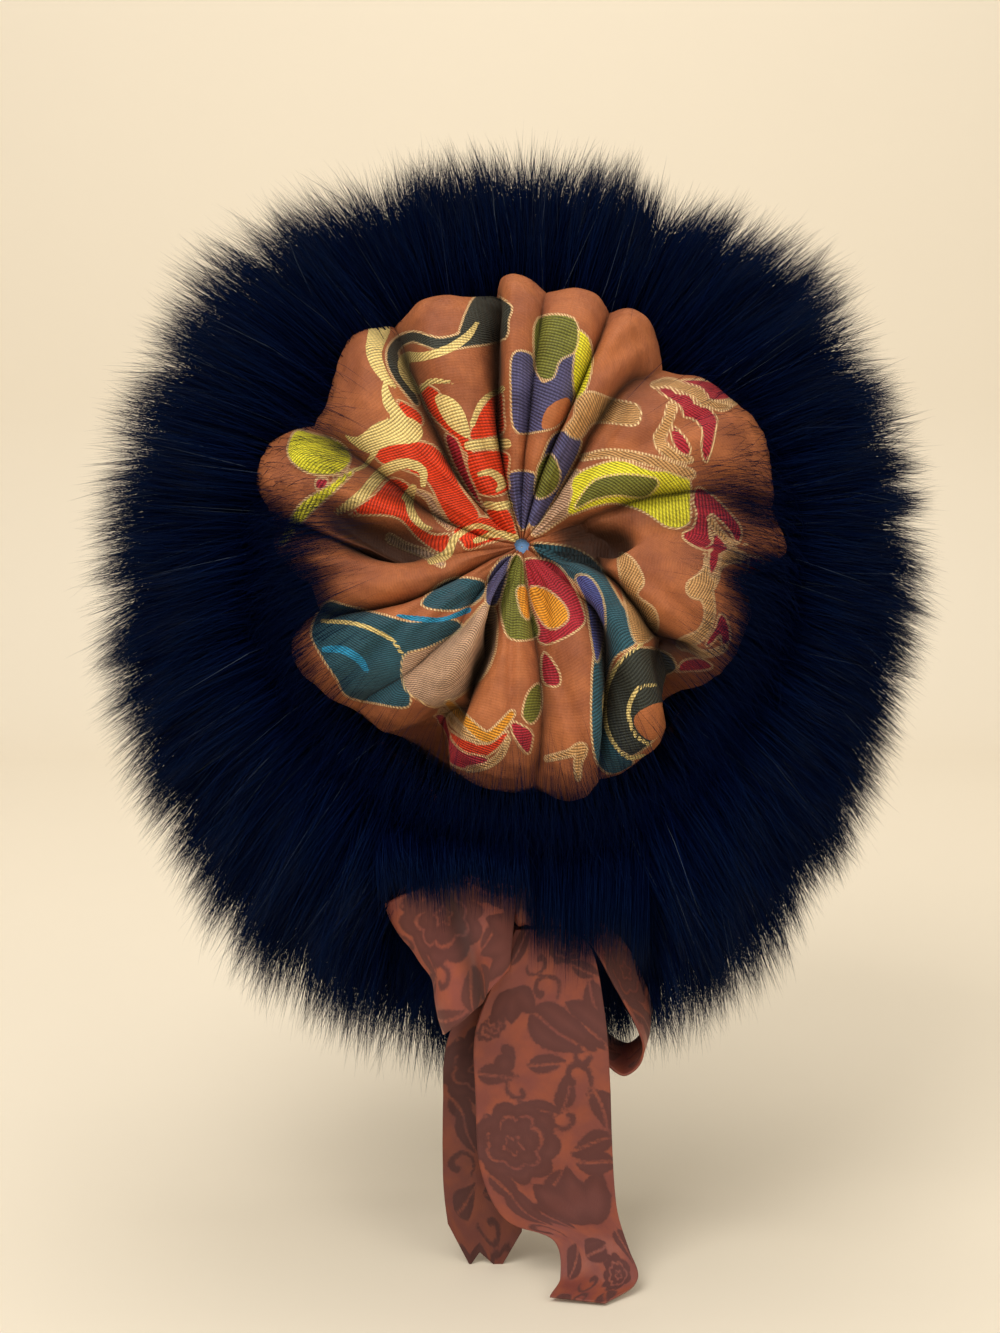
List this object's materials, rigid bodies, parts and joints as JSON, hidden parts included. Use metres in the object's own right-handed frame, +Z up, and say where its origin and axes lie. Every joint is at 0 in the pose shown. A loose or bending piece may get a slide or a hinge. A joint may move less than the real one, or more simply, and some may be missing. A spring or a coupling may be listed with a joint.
{
  "type": "fur-trimmed hat",
  "caption": "Soft hat with a pleated brocade crown gathered to a small hole, a deep round fur brim and a ribbon bow with hanging tails at the nape.",
  "frame": {"origin": "middle of the head opening, on the plane of the hat's rim, where a head holds the hat", "axes": "+Z up as the hat is worn, the gathered crown faces -Y with its axis 18 degrees above the horizontal, and +X is to the right of someone who looks at the crown"},
  "size_m": [0.4046, 0.277, 0.5117],
  "materials": {
    "brocade": "woven silk brocade, copper-brown ground with many-coloured figures and pale gold outlines",
    "lining": "smooth pale-blue lining cloth",
    "fur": "long soft blue-black fur",
    "ribbon": "rust-brown damask ribbon with a tone-on-tone leaf and flower figure"
  },
  "bodies": {
    "root": {"brocade_crown": "brocade", "crown_lining": "lining", "fur_brim": "fur", "ribbon_band": "ribbon", "bow_knot": "ribbon", "bow_loop_left": "ribbon", "bow_loop_right": "ribbon", "tail_front": "ribbon", "tail_back": "ribbon"}
  },
  "joints": []
}
